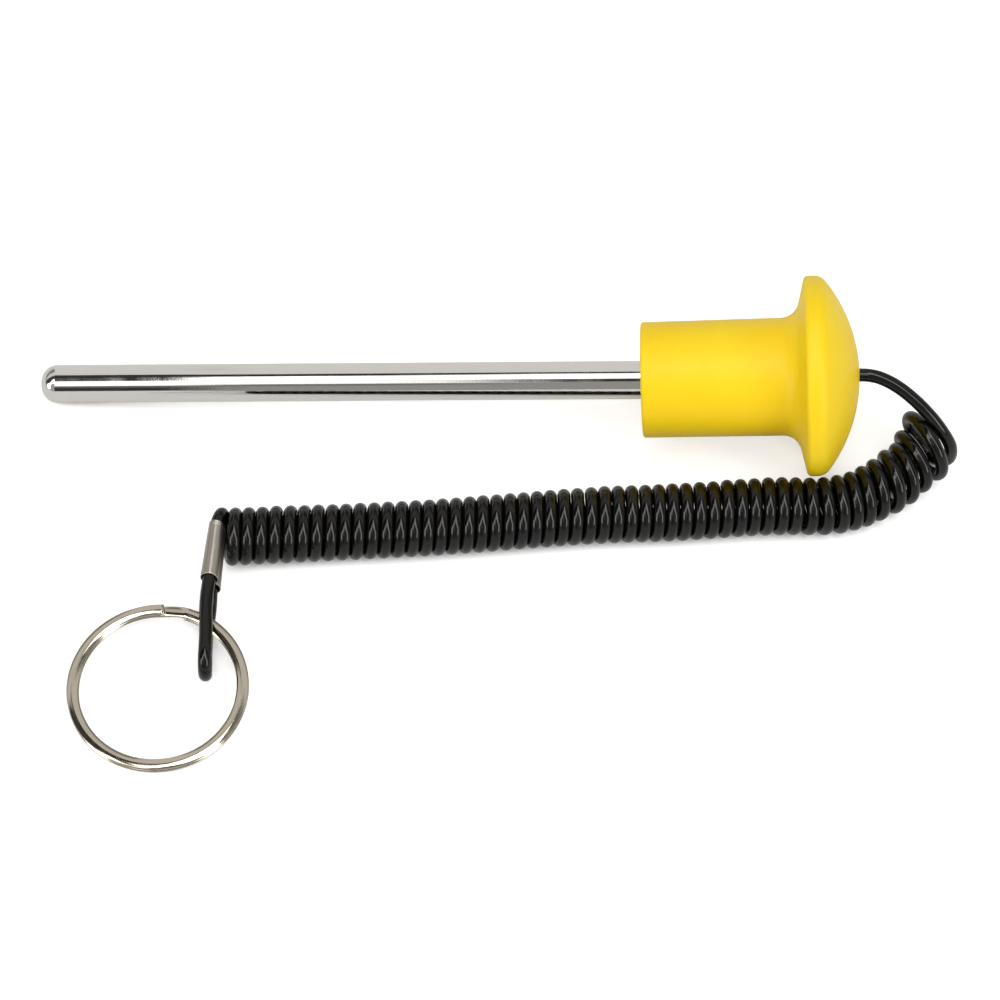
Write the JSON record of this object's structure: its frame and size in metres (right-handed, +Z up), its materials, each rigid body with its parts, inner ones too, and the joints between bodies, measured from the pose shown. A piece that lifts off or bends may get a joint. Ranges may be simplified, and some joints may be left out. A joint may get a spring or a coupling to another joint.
{
  "type": "weight stack pin",
  "caption": "Round steel selector pin with a domed mushroom knob, a coiled cord lanyard crimped into an eye, and a split key ring.",
  "frame": {"origin": "middle of the box of the rod and the knob, on the surface that the tip and the head's rim rest on", "axes": "+Z up; +X over the rod's length towards the head; +Y away from the side where the lanyard lies"},
  "size_m": [0.2304, 0.1325, 0.0496],
  "materials": {
    "plated_steel": "bright plated, lightly speckled",
    "yellow_plastic": "satin moulded",
    "black_cord": "gloss extruded",
    "crimp_metal": "drawn, pressed",
    "nickel_wire": "bright nickel plated"
  },
  "bodies": {
    "pin": {"pin_rod": "plated_steel", "knob": "yellow_plastic", "cord_stop": "crimp_metal", "lanyard_lead": "black_cord", "lanyard_coil": "black_cord", "lanyard_loop": "black_cord", "ferrule": "crimp_metal"},
    "ring": {"key_ring": "nickel_wire"}
  },
  "joints": [
    {"name": "ring_swing", "type": "hinge", "parent": "pin", "child": "ring", "pos_m": [-0.05459, -0.06846, 0.005], "axis": [-0.848, 0.5299, 0], "range_deg": [0, 155]}
  ]
}
